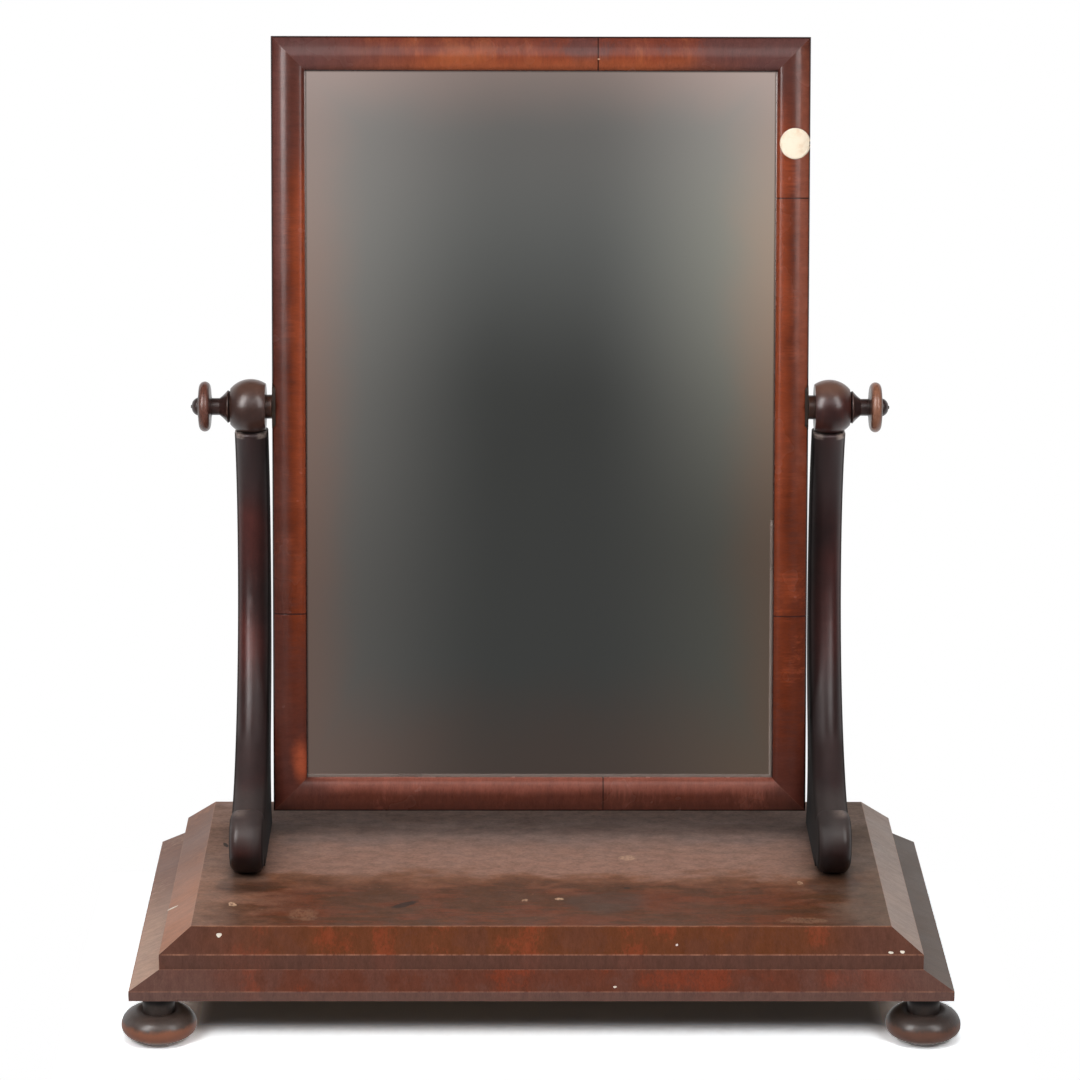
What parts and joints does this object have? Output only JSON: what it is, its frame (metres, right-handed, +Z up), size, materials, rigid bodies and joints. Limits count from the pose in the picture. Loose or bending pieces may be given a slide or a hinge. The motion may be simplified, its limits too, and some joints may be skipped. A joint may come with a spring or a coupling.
{
  "type": "dressing table mirror",
  "caption": "Dressing-table mirror: a cushion-moulded frame tilts between two scroll uprights on a stepped platform with bun feet.",
  "frame": {"origin": "on the surface the mirror stands on, in the middle of the space it takes up as it leans at rest", "axes": "+X to the right seen from the front, +Y towards the back, +Z up"},
  "size_m": [0.6788, 0.3984, 0.7588],
  "materials": {
    "frame_veneer": "french polished mahogany veneer, cross-banded",
    "platform_veneer": "polished mahogany veneer, worn",
    "top_veneer": "faded polished mahogany",
    "dark_wood": "dark stained and polished",
    "foot_wood": "dark stained, rubbed low down",
    "pine": "planed, unfinished",
    "backboard_pine": "planed, aged",
    "beech": "turned, unfinished",
    "silvered_glass": "silvered plate glass, slightly hazed",
    "brass": "tarnished brass",
    "iron": "darkened iron"
  },
  "bodies": {
    "stand": {"lower_board": "pine", "upper_core": "pine", "top_board": "top_veneer", "lower_front_moulding": "platform_veneer", "lower_left_moulding": "platform_veneer", "lower_right_moulding": "platform_veneer", "upper_front_moulding": "platform_veneer", "upper_left_moulding": "platform_veneer", "upper_right_moulding": "platform_veneer", "front_left_foot": "foot_wood", "front_right_foot": "foot_wood", "back_left_foot": "foot_wood", "back_right_foot": "foot_wood", "left_upright": "dark_wood", "right_upright": "dark_wood", "left_ball": "dark_wood", "right_ball": "dark_wood", "left_collar": "dark_wood", "right_collar": "dark_wood", "ball_dowels": "beech", "board_screws": "iron", "upright_screws": "iron"},
    "mirror": {"frame_top_rail": "frame_veneer", "frame_bottom_rail": "frame_veneer", "frame_left_stile": "frame_veneer", "frame_right_stile": "frame_veneer", "mirror_plate": "silvered_glass", "glazing_blocks": "pine", "backboard": "backboard_pine", "backboard_screws": "iron", "left_nut_plate": "brass", "right_nut_plate": "brass", "nut_plate_screws": "iron"},
    "left_screw": {"left_pivot_screw": "iron"},
    "right_screw": {"right_pivot_screw": "iron"},
    "left_knob": {"left_knob": "dark_wood"},
    "right_knob": {"right_knob": "dark_wood"}
  },
  "joints": [
    {"name": "mirror_tilt", "type": "hinge", "parent": "stand", "child": "mirror", "pos_m": [0, 0.12336, 0.4524], "axis": [1, 0, 0], "continuous": true},
    {"name": "left_screw_travel", "type": "slide", "parent": "mirror", "child": "left_screw", "axis": [-1, 0, 0], "range_m": [0, 0.008]},
    {"name": "left_knob_turn", "type": "hinge", "parent": "left_screw", "child": "left_knob", "pos_m": [0, 0.12336, 0.4524], "axis": [-1, 0, 0], "range_deg": [0, 1800]},
    {"name": "right_screw_travel", "type": "slide", "parent": "mirror", "child": "right_screw", "axis": [1, 0, 0], "range_m": [0, 0.008]},
    {"name": "right_knob_turn", "type": "hinge", "parent": "right_screw", "child": "right_knob", "pos_m": [0, 0.12336, 0.4524], "axis": [1, 0, 0], "range_deg": [0, 1800]}
  ],
  "couplings": [
    {"joint": "left_screw_travel", "follows": "left_knob_turn", "m_per_rad": 0.0002546},
    {"joint": "right_screw_travel", "follows": "right_knob_turn", "m_per_rad": 0.0002546}
  ]
}
